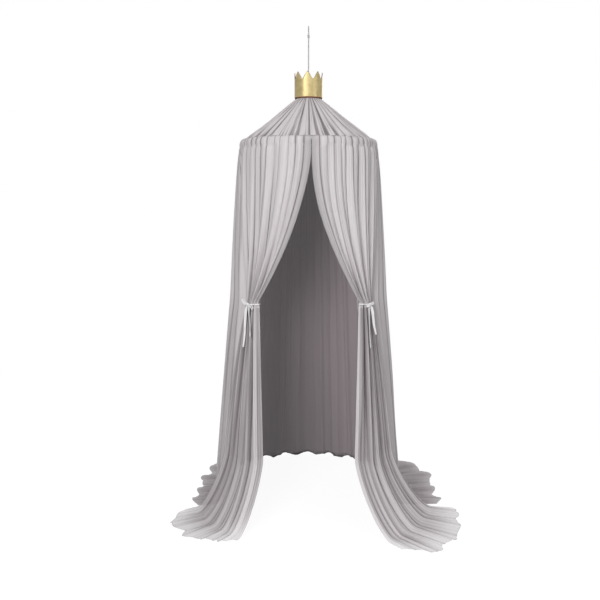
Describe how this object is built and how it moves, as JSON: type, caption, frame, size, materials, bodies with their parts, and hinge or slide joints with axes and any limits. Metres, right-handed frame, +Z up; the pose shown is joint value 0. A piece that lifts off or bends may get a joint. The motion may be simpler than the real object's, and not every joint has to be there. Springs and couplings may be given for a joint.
{
  "type": "bed crown canopy",
  "caption": "Sheer gathered bed canopy hung from one cord: gold crown sleeve, pleated cone roof on a hoop, and curtains drawn aside in ribbon ties.",
  "frame": {"origin": "the crest of the hanging loop's eye, where the ceiling hook holds it; the floor is 2.128 m below", "axes": "+Z up along the hanging cord, -Y out through the doorway between the two tied front widths, +X to the right seen from the front"},
  "size_m": [1.2597, 1.0731, 2.1334],
  "materials": {
    "cloth": "sheer warm grey tulle with fine mesh and soft gathers",
    "ribbon": "white satin ribbon",
    "cord": "off-white twisted cord",
    "crown_gold": "pale gold foiled leatherette with a satin gloss",
    "crown_suede": "red-brown suede backing with raw cut edges",
    "hoop": "drawn spring steel wire",
    "rivet": "small tubular rivets",
    "washer": "turned beech, waxed"
  },
  "bodies": {
    "hanger": {"hanging_loop": "cord", "loop_knot": "cord", "suspension_cord": "cord", "stop_knot": "cord"},
    "canopy": {"top_washer": "washer", "neck_binding": "cord", "hoop_left": "hoop", "hoop_right": "hoop", "hoop_sleeve_front": "hoop", "hoop_sleeve_back": "hoop", "rim_tunnel": "cloth", "roof_front_left": "cloth", "roof_side_left": "cloth", "roof_back": "cloth", "roof_side_right": "cloth", "roof_front_right": "cloth", "front_left_heading": "cloth", "front_right_heading": "cloth", "side_left_curtain": "cloth", "side_right_curtain": "cloth", "back_curtain": "cloth"},
    "crown": {"crown_band": "crown_gold", "crown_lining": "crown_suede", "crown_rivet_lower": "rivet", "crown_rivet_upper": "rivet"},
    "left_panel": {"front_left_drape": "cloth", "front_left_foot": "cloth", "left_tie_band": "ribbon", "left_bow_knot": "ribbon", "left_bow_loop_inner": "ribbon", "left_bow_loop_outer": "ribbon"},
    "left_train": {"front_left_train": "cloth"},
    "left_tails": {"left_tail_long": "ribbon", "left_tail_short": "ribbon"},
    "right_panel": {"front_right_drape": "cloth", "front_right_foot": "cloth", "right_tie_band": "ribbon", "right_bow_knot": "ribbon", "right_bow_loop_inner": "ribbon", "right_bow_loop_outer": "ribbon"},
    "right_train": {"front_right_train": "cloth"},
    "right_tails": {"right_tail_long": "ribbon", "right_tail_short": "ribbon"}
  },
  "joints": [
    {"name": "canopy_swivel", "type": "hinge", "parent": "hanger", "child": "canopy", "pos_m": [0, 0, -0.28], "axis": [0, 0, 1], "continuous": true},
    {"name": "crown_lift", "type": "slide", "parent": "canopy", "child": "crown", "axis": [0, 0, 1], "range_m": [0, 0.12]},
    {"name": "left_panel_draw", "type": "hinge", "parent": "canopy", "child": "left_panel", "pos_m": [-0.22458, -0.17546, -0.486], "axis": [-0.788, -0.6157, 0], "range_deg": [0, 6], "deforming": ["front_left_heading"]},
    {"name": "left_train_drag", "type": "hinge", "parent": "left_panel", "child": "left_train", "pos_m": [-0.29968, -0.26795, -1.828], "axis": [-0.788, -0.6157, 0], "range_deg": [-6, 0], "deforming": ["front_left_foot"]},
    {"name": "left_tails_swing", "type": "hinge", "parent": "left_panel", "child": "left_tails", "pos_m": [-0.25669, -0.27049, -1.166], "axis": [-0.6884, -0.7254, 0], "range_deg": [-10, 10]},
    {"name": "right_panel_draw", "type": "hinge", "parent": "canopy", "child": "right_panel", "pos_m": [0.22458, -0.17546, -0.486], "axis": [-0.788, 0.6157, 0], "range_deg": [0, 6], "deforming": ["front_right_heading"]},
    {"name": "right_train_drag", "type": "hinge", "parent": "right_panel", "child": "right_train", "pos_m": [0.29968, -0.26795, -1.828], "axis": [-0.788, 0.6157, 0], "range_deg": [-6, 0], "deforming": ["front_right_foot"]},
    {"name": "right_tails_swing", "type": "hinge", "parent": "right_panel", "child": "right_tails", "pos_m": [0.25669, -0.27049, -1.166], "axis": [0.6884, -0.7254, 0], "range_deg": [-10, 10]}
  ],
  "couplings": [
    {"joint": "left_train_drag", "follows": "left_panel_draw", "ratio": -1},
    {"joint": "right_train_drag", "follows": "right_panel_draw", "ratio": -1}
  ]
}
